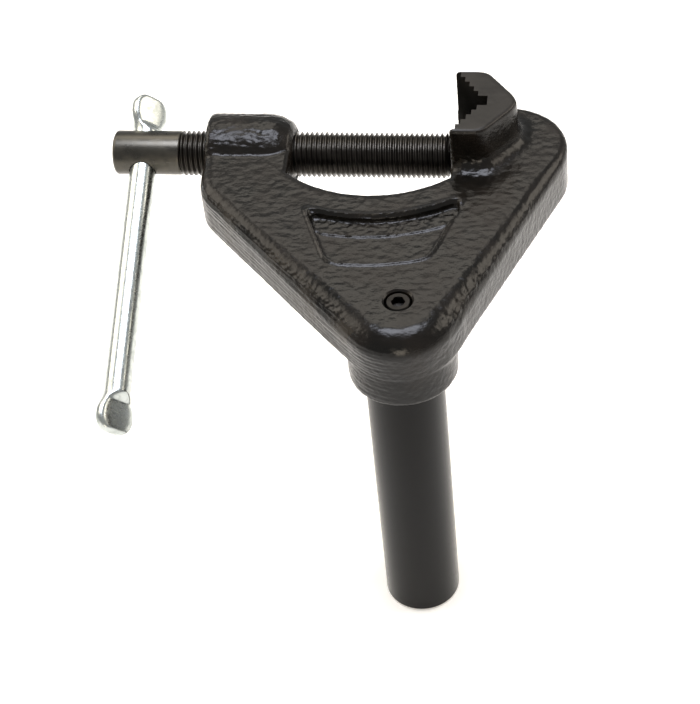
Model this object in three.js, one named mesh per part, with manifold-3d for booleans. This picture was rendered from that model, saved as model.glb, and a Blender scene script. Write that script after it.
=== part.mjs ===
// Pipe-clamping support arm: a cast yoke with a serrated V jaw, a clamp screw with a swivel pad
// and a sliding tommy bar, and a round support arm held in the yoke's apex by a cap screw.
// Millimetres, +Z up. The screw axis is X, pointing from the handle to the jaw. A clamped pipe and
// the support arm both run along Z. The origin is where the two V flanks would meet.

import * as THREE from 'three';
import { mergeVertices } from 'three/addons/utils/BufferGeometryUtils.js';
import Module from 'manifold-3d';

const wasm = await Module();
wasm.setup();

// ---- Driving dimensions ------------------------------------------------------------------

const GAP = 0.3;                     // clearance between touching pieces
const INCH = 25.4;

// Yoke plate, seen from above.
const FACE = 10.5;                   // the plate's face
const BACK = -12;                    // the plate's back
const PLATE_EDGE = 2.5;              // rounding of the plate's edges
const LEFT_END = -116.4;             // flat end of the screw side
const LEFT_CORNER = { x: -95.9, y: -24.4, r: 20.5 };
const RIGHT_CORNER = { x: 9.3, y: -4.7, r: 25.5 };
const THROAT = { x: -45.1, y: 16.2, r: 51.8 };
const BOSS_SIDE = -80;               // throat wall on the screw side
const JAW_MOUTH = -12.2;             // throat wall on the jaw side

// Apex, which carries the arm.
const ARM_X = -26.4;
const ARM_Y = -97.9;
const APEX_R = 24;
const SOCKET_BOSS = { r: 22.2, bottom: -27, edge: 2 };
const ARM_R = 1.25 * INCH / 2;
const ARM_TOP = -3.4;
const ARM_LENGTH = 6.25 * INCH;
const ARM_CHAMFER = 1;

// Screw boss.
const BOSS_R = 17;
const SCREW_R = 0.75 * INCH / 2;
const BORE_R = SCREW_R + GAP;

// Jaw block with its stepped V.
const JAW_TOP = 30;
const JAW_HALF = 19.8;
const JAW_SHOULDER = 1;              // where the sides turn towards the tip
const JAW_TIP = { x: 14.5, half: 2 };
const STEP_RUN = 2;                  // step along the screw axis
const STEP_RISE = 3.05;              // step across it
const STEPS = 5;
const RELIEF = { half: 3, from: -1.9, to: 2.1 };

// Name panel on the face, left blank: a shallow ring sector round the throat's centre, with a
// deeper curved slot. Its left and right ends are directions in degrees at each radius.
const PANEL = { inner: 66, outer: 94, left: [248.5, 263], right: [306.5, 287.5], depth: 1 };
const SLOT = { inner: 67, outer: 76.5, left: [250, 255.5], right: [305, 300], depth: 2.6 };

// Arm fixing: a metric socket head cap screw over a lock washer.
const CAP = { headR: 5, headHeight: 6, shankR: 3, length: 16, hexAcross: 5, hexDepth: 3.4 };
const COUNTERBORE = { r: 5.6, depth: 9 };
const WASHER = { outer: 4.9, inner: 3.3, height: 1.6 };

// Clamp screw, handle side first.
const HEAD = { from: -157.5, to: -128.4, r: 9.35, chamfer: 1 };
const SCREW_END = -14.5;
const SPIGOT = { r: 4.5, tip: -8, grooveFrom: -11, grooveTo: -9.6, grooveR: 3.7 };
const PAD = { r: 8.5, from: -14.2, to: -6.2, boreEnd: -7.7, chamfer: 1 };
const RING = { inner: 4, outer: 5.4, from: -10.7, to: -9.9 };

// Tommy bar.
const BAR_X = -145.15;
const BAR_R = 7 / 16 * INCH / 2;
const BAR_TILT = 23.1;               // degrees below -Y of its long end
const BAR_ROLL = -51;                // degrees that its flats are turned about its own axis
const BAR_SHORT = 27.7;              // from the screw axis to the near end
const BAR_LONG = 127.1;              // from the screw axis to the far end
const PADDLE = { length: 17.5, flare: 7, half: 8.6, thick: 2.6, edge: 1.8 };

// ---- Finishes ----------------------------------------------------------------------------

const finish = (color, roughness, metalness) =>
  new THREE.MeshStandardMaterial({ color, roughness, metalness });
const ENAMEL = finish(0x24221f, 0.35, 0);
const SATIN_BLACK = finish(0x1b1a19, 0.45, 0);
const BLACK_OXIDE = finish(0x3a3838, 0.35, 0.9);
const ZINC = finish(0xd8dad6, 0.2, 1);
const SPRING_STEEL = finish(0x6b6b6b, 0.4, 1);

// ---- Solids ------------------------------------------------------------------------------

/** Closed manifold solid of a three.js geometry. */
function solid(geometry) {
  const bare = geometry.clone();
  bare.deleteAttribute('normal');
  bare.deleteAttribute('uv');
  const merged = mergeVertices(bare, 1e-4);
  const vertProperties = new Float32Array(merged.attributes.position.array);
  const triVerts = new Uint32Array(merged.index.array);
  return new wasm.Manifold(new wasm.Mesh({ numProp: 3, vertProperties, triVerts }));
}

/** three.js geometry of a manifold solid. */
function geometryOf(body) {
  const mesh = body.getMesh();
  const geometry = new THREE.BufferGeometry();
  geometry.setAttribute('position', new THREE.BufferAttribute(mesh.vertProperties, 3));
  geometry.setIndex(new THREE.BufferAttribute(mesh.triVerts, 1));
  geometry.computeVertexNormals();
  return geometry;
}

/** First solid joined with the others. */
const join = (first, ...others) => others.reduce((body, other) => body.add(other), first);

/** First solid less the others. */
const cut = (first, ...others) => others.reduce((body, other) => body.subtract(other), first);

/** Upright prism of a plan shape between two heights, with rounded or sharp edges. */
function prism(shape, bottom, top, edge = 0) {
  const geometry = new THREE.ExtrudeGeometry(shape, {
    depth: top - bottom - 2 * edge,
    bevelEnabled: edge > 0,
    bevelThickness: edge,
    bevelSize: edge,
    bevelOffset: -edge,
    bevelSegments: 2,
    curveSegments: 14,
  });
  geometry.translate(0, 0, bottom + edge);
  return solid(geometry);
}

/** Solid of revolution from [radius, height] points, which start and end on the axis. */
function turned(points, segments = 40) {
  const profile = points.map(([radius, height]) => new THREE.Vector2(radius, height));
  return new THREE.LatheGeometry(profile, segments);
}

/** Profile of a plain rod with chamfered ends. */
function rodProfile(radius, from, to, chamfer = 0) {
  return [[0, from], [radius - chamfer, from], [radius, from + chamfer],
    [radius, to - chamfer], [radius - chamfer, to], [0, to]];
}

/** Turned solid whose axis is X, its profile heights measured along X. */
const turnedX = (points, segments) => solid(turned(points, segments).rotateZ(-Math.PI / 2));

/** Turned solid whose axis is Z, at a place in plan. */
const turnedZ = (points, x, y, segments) =>
  solid(turned(points, segments).rotateX(Math.PI / 2).translate(x, y, 0));

/** Plan shape from [x, y] corners. */
const polygon = (corners) => new THREE.Shape(corners.map(([x, y]) => new THREE.Vector2(x, y)));

// ---- Yoke --------------------------------------------------------------------------------

/** Angle of the outward normal of the line that runs outside two circles, on a given side. */
function tangentAngle(first, second, side) {
  const along = Math.atan2(second.y - first.y, second.x - first.x);
  const distance = Math.hypot(second.x - first.x, second.y - first.y);
  return along + side * Math.acos((first.r - second.r) / distance);
}

const APEX = { x: ARM_X, y: ARM_Y, r: APEX_R };
const LEFT_NORMAL = tangentAngle(LEFT_CORNER, APEX, -1);
const RIGHT_NORMAL = tangentAngle(APEX, RIGHT_CORNER, -1);

/** Outline of the plate: two arms round a throat, meeting at the apex. */
function plateShape() {
  const throatAngle = (x) => -Math.acos((x - THROAT.x) / THROAT.r);
  const shape = new THREE.Shape();
  shape.moveTo(LEFT_END, BOSS_R / 2);
  shape.lineTo(LEFT_END, LEFT_CORNER.y);
  shape.absarc(LEFT_CORNER.x, LEFT_CORNER.y, LEFT_CORNER.r, Math.PI, LEFT_NORMAL + 2 * Math.PI);
  shape.absarc(APEX.x, APEX.y, APEX.r, LEFT_NORMAL, RIGHT_NORMAL);
  shape.absarc(RIGHT_CORNER.x, RIGHT_CORNER.y, RIGHT_CORNER.r, RIGHT_NORMAL, Math.PI / 2);
  shape.lineTo(JAW_MOUTH, RIGHT_CORNER.y + RIGHT_CORNER.r);
  shape.absarc(THROAT.x, THROAT.y, THROAT.r, throatAngle(JAW_MOUTH), throatAngle(BOSS_SIDE), true);
  shape.lineTo(BOSS_SIDE, BOSS_R / 2);
  return shape;
}

/** Round boss along the screw axis, swelling out of the plate. */
function screwBoss() {
  return turnedX([
    [0, LEFT_END], [BOSS_R - 4, LEFT_END], [BOSS_R - 1.2, LEFT_END + 1.2], [BOSS_R, LEFT_END + 4],
    [BOSS_R, -90], [BOSS_R - 1, -85.5], [BOSS_R - 3, -81.5], [BOSS_R - 5.5, -79], [0, -79],
  ], 48);
}

/** Tapped bore of the boss at its crest size, with a countersink at the throat end. */
function screwBore() {
  const start = LEFT_END - 1;
  return turnedX([[0, start], [BORE_R + 1.5, start], [BORE_R, LEFT_END + 1.5], [BORE_R, -81.5],
    [BORE_R + 3, -78], [0, -78]]);
}

/** Jaw block: a flat-sided block with a pointed back. */
function jawBlock() {
  return prism(polygon([
    [JAW_MOUTH, JAW_HALF], [JAW_MOUTH, -JAW_HALF], [JAW_SHOULDER, -JAW_HALF],
    [JAW_TIP.x, -JAW_TIP.half], [JAW_TIP.x, JAW_TIP.half], [JAW_SHOULDER, JAW_HALF],
  ]), BACK, JAW_TOP, 1);
}

/** Stepped V with its relief slot, open towards the screw, cut right through. */
function jawV() {
  const flank = [];
  for (let step = 0; step < STEPS; step += 1) {
    const x = RELIEF.from - step * STEP_RUN;
    flank.push([x, RELIEF.half + step * STEP_RISE], [x, RELIEF.half + (step + 1) * STEP_RISE]);
  }
  const mouth = [JAW_MOUTH - 5, flank.at(-1)[1]];
  const upper = [[RELIEF.to, RELIEF.half], ...flank, mouth];
  const lower = upper.map(([x, y]) => [x, -y]).reverse();
  return prism(polygon([...upper, ...lower]), BACK - 1, JAW_TOP + 1);
}

/** Recess in the face: a ring sector round the throat's centre, its ends given in degrees. */
function faceSector({ inner, outer, left, right, depth }) {
  const turn = THREE.MathUtils.degToRad;
  const shape = new THREE.Shape();
  shape.absarc(THROAT.x, THROAT.y, inner, turn(right[0]), turn(left[0]), true);
  shape.absarc(THROAT.x, THROAT.y, outer, turn(left[1]), turn(right[1]), false);
  return prism(shape, FACE - depth, FACE + 1);
}

/** Yoke casting, machined. */
function clampBody() {
  const socketBoss = turnedZ([
    [0, SOCKET_BOSS.bottom], [SOCKET_BOSS.r - SOCKET_BOSS.edge, SOCKET_BOSS.bottom],
    [SOCKET_BOSS.r, SOCKET_BOSS.bottom + SOCKET_BOSS.edge], [SOCKET_BOSS.r, 0], [0, 0],
  ], ARM_X, ARM_Y, 48);
  const casting = join(
    prism(plateShape(), BACK, FACE, PLATE_EDGE), screwBoss(), jawBlock(), socketBoss);
  const socket = turnedZ([[0, SOCKET_BOSS.bottom - 1], [ARM_R + GAP, SOCKET_BOSS.bottom - 1],
    [ARM_R + GAP, ARM_TOP + GAP], [0, ARM_TOP + GAP]], ARM_X, ARM_Y, 48);
  const floor = FACE - COUNTERBORE.depth;
  const screwHole = turnedZ([[0, ARM_TOP - 1], [CAP.shankR + GAP, ARM_TOP - 1],
    [CAP.shankR + GAP, floor], [COUNTERBORE.r, floor], [COUNTERBORE.r, FACE - 0.6],
    [COUNTERBORE.r + 0.8, FACE + 0.2], [0, FACE + 0.2]], ARM_X, ARM_Y, 32);
  return geometryOf(cut(casting, screwBore(), jawV(), socket, screwHole,
    faceSector(PANEL), faceSector(SLOT)));
}

// ---- Arm and its fixing ------------------------------------------------------------------

/** Round bar with chamfered ends and a tapped hole in its top for the cap screw. */
function supportArm() {
  const bar = turnedZ(rodProfile(ARM_R, ARM_TOP - ARM_LENGTH, ARM_TOP, ARM_CHAMFER), ARM_X, ARM_Y, 48);
  const screwEnd = FACE - COUNTERBORE.depth + WASHER.height - CAP.length;
  const hole = turnedZ([[0, screwEnd - 2], [CAP.shankR + GAP, screwEnd - 1],
    [CAP.shankR + GAP, ARM_TOP + 1], [0, ARM_TOP + 1]], ARM_X, ARM_Y, 24);
  return geometryOf(cut(bar, hole));
}

/** Cap screw with a hexagon socket, on top of the washer. */
function armCapScrew() {
  const seat = FACE - COUNTERBORE.depth + GAP + WASHER.height + GAP;
  const body = turnedZ([[0, seat - CAP.length], [CAP.shankR - 0.5, seat - CAP.length],
    [CAP.shankR, seat - CAP.length + 0.5], [CAP.shankR, seat], [CAP.headR, seat],
    [CAP.headR, seat + CAP.headHeight - 0.5], [CAP.headR - 0.5, seat + CAP.headHeight],
    [0, seat + CAP.headHeight]], ARM_X, ARM_Y, 32);
  const hexRadius = CAP.hexAcross / Math.sqrt(3);
  const top = seat + CAP.headHeight;
  const hex = turnedZ([[0, top - CAP.hexDepth], [hexRadius, top - CAP.hexDepth],
    [hexRadius, top + 1], [0, top + 1]], ARM_X, ARM_Y, 6);
  return geometryOf(cut(body, hex));
}

/** Split lock washer under the cap screw's head. */
function armLockWasher() {
  const bottom = FACE - COUNTERBORE.depth + GAP;
  const top = bottom + WASHER.height;
  const ring = turnedZ([[WASHER.inner, bottom], [WASHER.outer, bottom], [WASHER.outer, top],
    [WASHER.inner, top], [WASHER.inner, bottom]], ARM_X, ARM_Y, 32);
  const split = prism(polygon([[ARM_X + 2, ARM_Y - 0.5], [ARM_X + 6, ARM_Y - 1],
    [ARM_X + 6, ARM_Y], [ARM_X + 2, ARM_Y + 0.5]]), bottom - 1, top + 1);
  return geometryOf(cut(ring, split));
}

// ---- Screw, pad and bar ------------------------------------------------------------------

/** Places a solid built along local +Z so that it runs along the tommy bar's axis. */
function alongBar(geometry) {
  const turn = THREE.MathUtils.degToRad;
  return geometry.rotateZ(turn(BAR_ROLL)).rotateX(Math.PI / 2 + turn(BAR_TILT)).translate(BAR_X, 0, 0);
}

/** Clamp screw: cross-drilled head, threaded length at crest size and grooved spigot. */
function clampScrew() {
  const body = turnedX([
    [0, HEAD.from], [HEAD.r - HEAD.chamfer, HEAD.from], [HEAD.r, HEAD.from + HEAD.chamfer],
    [HEAD.r, HEAD.to - 0.6], [HEAD.r - 0.6, HEAD.to], [SCREW_R - 1, HEAD.to],
    [SCREW_R, HEAD.to + 1], [SCREW_R, SCREW_END - 1], [SCREW_R - 1, SCREW_END],
    [SPIGOT.r, SCREW_END], [SPIGOT.r, SPIGOT.grooveFrom], [SPIGOT.grooveR, SPIGOT.grooveFrom],
    [SPIGOT.grooveR, SPIGOT.grooveTo], [SPIGOT.r, SPIGOT.grooveTo], [SPIGOT.r, SPIGOT.tip - 0.5],
    [SPIGOT.r - 0.5, SPIGOT.tip], [0, SPIGOT.tip],
  ]);
  const reach = HEAD.r + 2;
  const crossHole = solid(alongBar(turned(rodProfile(BAR_R + GAP, -reach, reach), 24)
    .rotateX(Math.PI / 2)));
  return geometryOf(cut(body, crossHole));
}

/** Swivel pad: a puck bored from the back, with a groove for the snap ring. */
function pressurePad() {
  const bore = SPIGOT.r + GAP;
  return geometryOf(turnedX([
    [bore, PAD.from], [PAD.r - PAD.chamfer, PAD.from], [PAD.r, PAD.from + PAD.chamfer],
    [PAD.r, PAD.to - PAD.chamfer], [PAD.r - PAD.chamfer, PAD.to], [0, PAD.to], [0, PAD.boreEnd],
    [bore, PAD.boreEnd], [bore, RING.to + GAP], [RING.outer + GAP, RING.to + GAP],
    [RING.outer + GAP, RING.from - GAP], [bore, RING.from - GAP], [bore, PAD.from],
  ]));
}

/** Round snap ring that keeps the pad on the spigot, with its gap. */
function padSnapRing() {
  const ring = turnedX([[RING.inner, RING.from], [RING.outer, RING.from], [RING.outer, RING.to],
    [RING.inner, RING.to], [RING.inner, RING.from]], 32);
  const gap = solid(new THREE.BoxGeometry(2, 3, 1.6)
    .translate((RING.from + RING.to) / 2, RING.outer - 0.5, 0));
  return geometryOf(cut(ring, gap));
}

/** Tommy bar: round rod whose two ends are hammered flat and wide. */
function handleBar() {
  const rod = solid(turned(rodProfile(BAR_R, -BAR_SHORT + PADDLE.length * 0.6,
    BAR_LONG - PADDLE.length * 0.6), 28).rotateX(Math.PI / 2));
  const paddle = (end, way) => {
    const root = end - way * PADDLE.length;
    const wide = root + way * PADDLE.flare;
    const corner = PADDLE.half / 2;
    const profile = polygon([[-BAR_R, root], [BAR_R, root], [PADDLE.half, wide],
      [PADDLE.half, end - way * corner], [PADDLE.half - corner, end], [corner - PADDLE.half, end],
      [-PADDLE.half, end - way * corner], [-PADDLE.half, wide]]);
    return solid(new THREE.ExtrudeGeometry(profile, {
      depth: 2 * (PADDLE.thick - PADDLE.edge), bevelThickness: PADDLE.edge, bevelSize: PADDLE.edge,
      bevelOffset: -PADDLE.edge, bevelSegments: 2,
    }).translate(0, 0, PADDLE.edge - PADDLE.thick).rotateX(Math.PI / 2));
  };
  const bar = join(rod, paddle(-BAR_SHORT, -1), paddle(BAR_LONG, 1));
  return alongBar(geometryOf(bar));
}

// ---- Assembly ----------------------------------------------------------------------------

const object = new THREE.Group();

/** Adds one named piece. */
function add(name, geometry, material) {
  const mesh = new THREE.Mesh(geometry, material);
  mesh.name = name;
  object.add(mesh);
}

add('clamp_body', clampBody(), ENAMEL);
add('support_arm', supportArm(), SATIN_BLACK);
add('arm_lock_washer', armLockWasher(), SPRING_STEEL);
add('arm_cap_screw', armCapScrew(), BLACK_OXIDE);
add('clamp_screw', clampScrew(), BLACK_OXIDE);
add('pressure_pad', pressurePad(), BLACK_OXIDE);
add('pad_snap_ring', padSnapRing(), SPRING_STEEL);
add('handle_bar', handleBar(), ZINC);

export default object;
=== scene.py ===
"""Finished look of a pipe-clamping support arm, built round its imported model.

A cast iron yoke in black enamel carries a stepped V jaw, a clamp screw with a swivel pad and a
sliding tommy bar, and a round support arm that a cap screw holds in the yoke's apex. Sizes in the
classes are millimetres in the model's own frame, and meshes are made in metres. Only the lights
are placed and sized in metres.
"""

import logging
import math
from abc import ABC, abstractmethod
from dataclasses import dataclass, field
from enum import Enum
from typing import Callable, Sequence

import bmesh
import bpy
import numpy as np
from mathutils import Matrix, Vector, noise


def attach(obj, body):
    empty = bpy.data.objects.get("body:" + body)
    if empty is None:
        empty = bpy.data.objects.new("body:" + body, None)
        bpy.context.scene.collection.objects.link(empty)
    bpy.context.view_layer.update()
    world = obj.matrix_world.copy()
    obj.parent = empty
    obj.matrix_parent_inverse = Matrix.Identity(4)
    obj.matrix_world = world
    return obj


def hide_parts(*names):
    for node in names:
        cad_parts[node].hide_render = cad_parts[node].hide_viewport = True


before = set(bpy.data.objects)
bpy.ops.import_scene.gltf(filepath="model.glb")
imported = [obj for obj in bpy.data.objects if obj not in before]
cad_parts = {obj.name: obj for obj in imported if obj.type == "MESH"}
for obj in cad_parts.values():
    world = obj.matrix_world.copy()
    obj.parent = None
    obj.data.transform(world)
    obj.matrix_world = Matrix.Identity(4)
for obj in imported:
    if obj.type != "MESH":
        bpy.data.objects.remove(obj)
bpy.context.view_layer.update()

MM = 0.001
Point2 = tuple[float, float]
Point3 = tuple[float, float, float]
Profile = tuple[Point2, ...]
Colour = tuple[float, float, float, float]
Field = np.ndarray
Solid = bpy.types.Object
Tree = bpy.types.NodeTree
Socket = bpy.types.NodeSocket

logging.basicConfig(level=logging.INFO, format="%(message)s")
LOG = logging.getLogger("support_arm")


# ---- Colour and nodes ----


def linear(colour: str) -> Colour:
    """Turns an sRGB hex colour to linear light.

    Args:
        colour: Six hex digits after a hash sign.

    Returns:
        Linear red, green, blue and an alpha of one.
    """
    parts = [int(colour[i:i + 2], 16) / 255 for i in (1, 3, 5)]
    light = [c / 12.92 if c <= 0.04045 else ((c + 0.055) / 1.055) ** 2.4 for c in parts]
    return (*light, 1.0)


def add_node(tree: Tree, kind: str, settings: dict | None = None,
             links: dict | None = None) -> bpy.types.Node:
    """Adds a node with its settings and links.

    Args:
        tree: Tree that takes the node.
        kind: Blender's name for the node's type.
        settings: Values by property name, or by input name or number.
        links: Output sockets by input name or number.

    Returns:
        The new node.
    """
    node = tree.nodes.new(kind)
    for key, value in (settings or {}).items():
        if isinstance(key, str) and hasattr(node, key):
            setattr(node, key, value)
        else:
            node.inputs[key].default_value = value
    for key, socket in (links or {}).items():
        tree.links.new(socket, node.inputs[key])
    return node


def ramp(tree: Tree, factor: Socket,
         stops: Sequence[tuple[float, tuple]]) -> Socket:
    """Colour ramp over a factor.

    Args:
        tree: Tree that takes the ramp.
        factor: Socket with the factor.
        stops: Position and linear colour of each stop, in order.

    Returns:
        The ramp's colour socket.
    """
    node = add_node(tree, "ShaderNodeValToRGB", links={0: factor})
    elements = node.color_ramp.elements
    while len(elements) < len(stops):
        elements.new(0.5)
    for element, (position, colour) in zip(elements, stops):
        element.position = position
        element.color = colour
    return node.outputs[0]


def grey(value: float) -> Colour:
    """Grey of one value, for ramps that carry a number."""
    return (value, value, value, 1.0)


def bump(tree: Tree, height: Socket, relief_mm: float,
         strength: float = 1.0, under: Socket | None = None) -> Socket:
    """Bump of a real height.

    Args:
        tree: Tree that takes the bump.
        height: Socket with the height, from zero to one.
        relief_mm: Height in millimetres.
        strength: Share of the bump that shows.
        under: Normal that it lies on.

    Returns:
        The normal's socket.
    """
    links = {"Height": height, "Normal": under} if under else {"Height": height}
    return add_node(tree, "ShaderNodeBump", {"Distance": relief_mm * MM, "Strength": strength},
                    links).outputs[0]


def surface(tree: Tree, settings: dict, *sockets: Socket) -> bpy.types.Node:
    """Surface shader.

    Args:
        tree: Tree that takes the shader.
        settings: Fixed values by input name.
        *sockets: Base colour, and then roughness and normal where they vary.

    Returns:
        The shader's node.
    """
    return add_node(tree, "ShaderNodeBsdfPrincipled", settings,
                    dict(zip(("Base Color", "Roughness", "Normal"), sockets)))


# ---- Finishes ----


@dataclass(frozen=True)
class Finish(ABC):
    """A surface finish that dresses pieces with one procedural material."""

    name: str

    @abstractmethod
    def shade(self, tree: Tree, place: Socket) -> bpy.types.Node:
        """Adds the finish's nodes.

        Args:
            tree: The material's node tree.
            place: Position on the piece, in metres.

        Returns:
            The surface shader.
        """

    def material(self) -> bpy.types.Material:
        """The finish's material, made once.

        Returns:
            The material.
        """
        made = bpy.data.materials.get(self.name)
        if made:
            return made
        made = bpy.data.materials.new(self.name)
        made.use_nodes = True
        tree = made.node_tree
        tree.nodes.clear()
        place = add_node(tree, "ShaderNodeTexCoord").outputs["Object"]
        shader = self.shade(tree, place)
        add_node(tree, "ShaderNodeOutputMaterial", links={"Surface": shader.outputs[0]})
        return made

    def grain(self, tree: Tree, place: Socket, size: float,
              stretch: Point3 = (1.0, 1.0, 1.0),
              detail: float = 2.0, turn: float = 0.0) -> Socket:
        """Noise with a real grain size.

        Args:
            tree: The material's node tree.
            place: Position on the piece, in metres.
            size: Grain width in millimetres.
            stretch: How many times longer the grain is along each axis.
            detail: Octaves of finer noise.
            turn: Degrees that the pattern is turned about Z.

        Returns:
            Factor socket, about a half on average.
        """
        if turn:
            place = add_node(tree, "ShaderNodeMapping", {"Rotation": (0, 0, math.radians(-turn))},
                             {"Vector": place}).outputs[0]
        scale = [1 / (size * MM * s) for s in stretch]
        mapped = add_node(tree, "ShaderNodeMapping", {"Scale": scale}, {"Vector": place})
        return add_node(tree, "ShaderNodeTexNoise", {"Scale": 1.0, "Detail": detail},
                        {"Vector": mapped.outputs[0]}).outputs[0]


@dataclass(frozen=True)
class CastEnamel(Finish):
    """Black baked enamel over sand-cast iron.

    The eye sees a near-black gloss coat that has flowed over the sand texture: soft orange-peel
    ripples, with a finer tooth where the coat is thin and small bright glints on its bumps.
    """

    colour: str = "#0c0b09"
    thin_coat_and_sheen_colour: str = "#17130f"
    gloss: float = 0.16
    dull: float = 0.3
    ior: float = 1.31
    peel_mm: float = 1.7
    tooth_mm: float = 0.7          # coarser than real sand grit of about 0.3 mm
    relief_mm: float = 0.13
    tooth_relief_mm: float = 0.055
    run: Point3 = (1.35, 1.0, 1.0)
    run_turn: float = 0.0

    def shade(self, tree: Tree, place: Socket) -> bpy.types.Node:
        """Adds the nodes of the enamel over sand-cast iron.

        Args:
            tree: The material's node tree.
            place: Position on the piece, in metres.

        Returns:
            The surface shader.
        """
        peel = self.grain(tree, place, self.peel_mm, self.run, turn=self.run_turn)
        tooth = self.grain(tree, place, self.tooth_mm, detail=3.0)
        cloud = self.grain(tree, place, 14.0)
        base = ramp(tree, cloud, [(0.35, linear(self.colour)), (0.7, linear(self.thin_coat_and_sheen_colour))])
        rough = ramp(tree, cloud, [(0.3, grey(self.gloss)), (0.75, grey(self.dull))])
        swell = bump(tree, peel, self.relief_mm)
        return surface(tree, {"IOR": self.ior}, base, rough,
                       bump(tree, tooth, self.tooth_relief_mm, under=swell))


@dataclass(frozen=True)
class SatinEnamel(Finish):
    """Satin black enamel sprayed over drawn steel bar.

    The eye sees an even soft black with long soft reflections and a few dust specks in the coat.
    """

    colour: str = "#090807"
    speck_colour: str = "#3b3a37"
    roughness: float = 0.12
    ior: float = 1.23
    speck_mm: float = 1.4
    relief_mm: float = 0.02

    def shade(self, tree: Tree, place: Socket) -> bpy.types.Node:
        """Adds the nodes of the enamel over drawn bar.

        Args:
            tree: The material's node tree.
            place: Position on the piece, in metres.

        Returns:
            The surface shader.
        """
        speck = self.grain(tree, place, self.speck_mm, detail=1.0)
        drawn = self.grain(tree, place, 0.9, (1.0, 1.0, 30.0))
        rough = ramp(tree, speck, [(0.3, grey(self.roughness)),
                                   (0.72, grey(self.roughness + 0.14))])
        base = ramp(tree, speck, [(0.78, linear(self.colour)), (0.84, linear(self.speck_colour))])
        return surface(tree, {"IOR": self.ior}, base, rough,
                       bump(tree, drawn, self.relief_mm, 0.7))


@dataclass(frozen=True)
class BlackOxide(Finish):
    """Black oxide on turned steel.

    The eye sees gunmetal grey-brown with fine turning marks round the axis and an oily sheen.
    """

    colour: str = "#403d39"
    worn_colour: str = "#4b4843"
    roughness: float = 0.3
    turning_mm: float = 0.35       # coarser than real feed marks of about 0.15 mm
    relief_mm: float = 0.01

    def shade(self, tree: Tree, place: Socket) -> bpy.types.Node:
        """Adds the nodes of the oxide over turned steel.

        Args:
            tree: The material's node tree.
            place: Position on the piece, in metres.

        Returns:
            The surface shader.
        """
        marks = self.grain(tree, place, self.turning_mm, (1.0, 60.0, 60.0))
        patch = self.grain(tree, place, 4.0)
        base = ramp(tree, patch, [(0.4, linear(self.colour)), (0.85, linear(self.worn_colour))])
        rough = ramp(tree, patch, [(0.3, grey(self.roughness)),
                                   (0.8, grey(self.roughness + 0.15))])
        return surface(tree, {"Metallic": 1.0}, base, rough,
                       bump(tree, marks, self.relief_mm, 0.6))


@dataclass(frozen=True)
class BrightZinc(Finish):
    """Bright zinc plate on cold-drawn steel rod.

    The eye sees a cool near-mirror with faint drawing lines along the rod and small dull spots.
    """

    colour: str = "#b9bebb"
    dull_colour: str = "#9fa5a0"
    roughness: float = 0.21
    relief_mm: float = 0.007

    def shade(self, tree: Tree, place: Socket) -> bpy.types.Node:
        """Adds the nodes of the zinc over drawn rod.

        Args:
            tree: The material's node tree.
            place: Position on the piece, in metres.

        Returns:
            The surface shader.
        """
        drawn = self.grain(tree, place, 0.8, (1.0, 1.0, 40.0))
        patch = self.grain(tree, place, 3.0)
        base = ramp(tree, patch, [(0.45, linear(self.colour)), (0.8, linear(self.dull_colour))])
        rough = ramp(tree, patch, [(0.35, grey(self.roughness)),
                                   (0.8, grey(self.roughness + 0.16))])
        return surface(tree, {"Metallic": 1.0}, base, rough,
                       bump(tree, drawn, self.relief_mm, 0.6))


@dataclass(frozen=True)
class LightTable(Finish):
    """Matt white acrylic of a softly lit table, with its faint cast mottle."""

    colour: str = "#f6f2ea"
    glow: float = 0.35

    def shade(self, tree: Tree, place: Socket) -> bpy.types.Node:
        """Adds the nodes of the acrylic.

        Args:
            tree: The material's node tree.
            place: Position on the piece, in metres.

        Returns:
            The surface shader.
        """
        fibre = self.grain(tree, place, 0.8, detail=3.0)
        base = ramp(tree, fibre, [(0.3, linear(self.colour)), (0.7, linear("#f8f8f7"))])
        return surface(tree, {"Roughness": 0.9, "Emission Color": linear("#fff9ee"),
                              "Emission Strength": self.glow}, base)


ENAMEL = CastEnamel("black_enamel_over_sand_cast_iron")
MACHINED_ENAMEL = CastEnamel("black_enamel_over_milled_iron", colour="#191714",
                             thin_coat_and_sheen_colour="#24211d", relief_mm=0.03, tooth_relief_mm=0.02,
                             gloss=0.3, dull=0.42)
CAP_OXIDE = BlackOxide("black_oxide_cold_headed_steel", colour="#242322", worn_colour="#34322f")
# Fettled left wall: real grinding grooves as bumps, and a lighter brown mix that is painted
# reflection of the bright room on that side.
FETTLED_ENAMEL_WITH_PAINTED_REFLECTION = CastEnamel("black_enamel_over_fettled_iron_with_painted_reflection", peel_mm=1.1, relief_mm=0.16,
                            run=(28.0, 1.0, 1.0), run_turn=-46.6, thin_coat_and_sheen_colour="#2b261f",
                            tooth_relief_mm=0.03)
ARM_ENAMEL = SatinEnamel("satin_black_enamel_over_drawn_steel")
OXIDE = BlackOxide("black_oxide_turned_steel")
SPRING = BlackOxide("oil_blackened_spring_steel", colour="#5d5d5e", worn_colour="#7a7a7a")
# Lighter copy of the screw's oxide for its head; the thread keeps the darker one as painted shade
# of its grooves.
HEAD_OXIDE_LIT_COPY = BlackOxide("black_oxide_polished_steel_lit_copy", colour="#4a4843", worn_colour="#54514a",
                        roughness=0.25)
ZINC = BrightZinc("bright_zinc_plate_on_drawn_rod")
TABLE_TOP = LightTable("matt_white_acrylic_table")


class Slot(Enum):
    """Material slots of the record."""

    ENAMELLED_IRON = "enamelled_iron"
    ARM_ENAMEL = "arm_enamel"
    BLACK_OXIDE_STEEL = "black_oxide_steel"
    ZINC_PLATE = "zinc_plate"


class Body(Enum):
    """Bodies of the record."""

    YOKE = "yoke"
    PAD = "pad"
    SCREW = "screw"
    BAR = "bar"


# ---- Shape fields ----


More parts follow.
